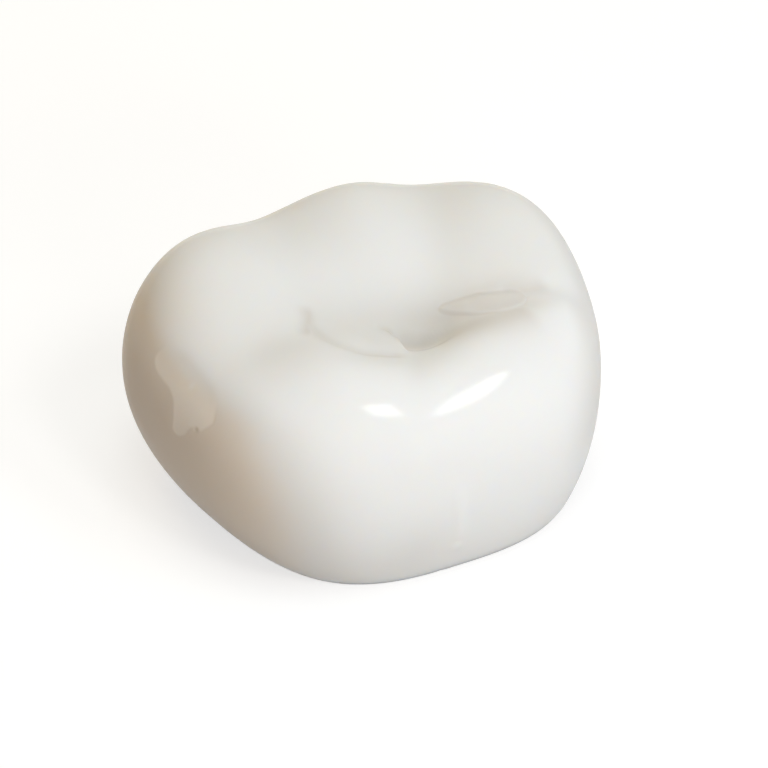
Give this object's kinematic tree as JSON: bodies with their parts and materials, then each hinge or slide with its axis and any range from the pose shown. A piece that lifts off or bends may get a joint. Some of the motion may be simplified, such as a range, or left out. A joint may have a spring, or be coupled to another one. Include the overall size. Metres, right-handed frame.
{
  "type": "ceramic dental crown",
  "caption": "Full ceramic crown for a lower first molar: grooved chewing surface, bulging walls and an open socket underneath for the prepared tooth.",
  "frame": {"origin": "centre of the bounding box in plan, at the lowest level of the margin that the crown stands on", "axes": "+X towards the back (distal) face, -X the front (mesial) face, +Y towards the cheek, -Y towards the tongue, +Z towards the chewing surface"},
  "size_m": [0.0116, 0.0098, 0.006],
  "materials": {
    "ceramic": "glazed"
  },
  "bodies": {
    "root": {"crown": "ceramic"}
  },
  "joints": []
}
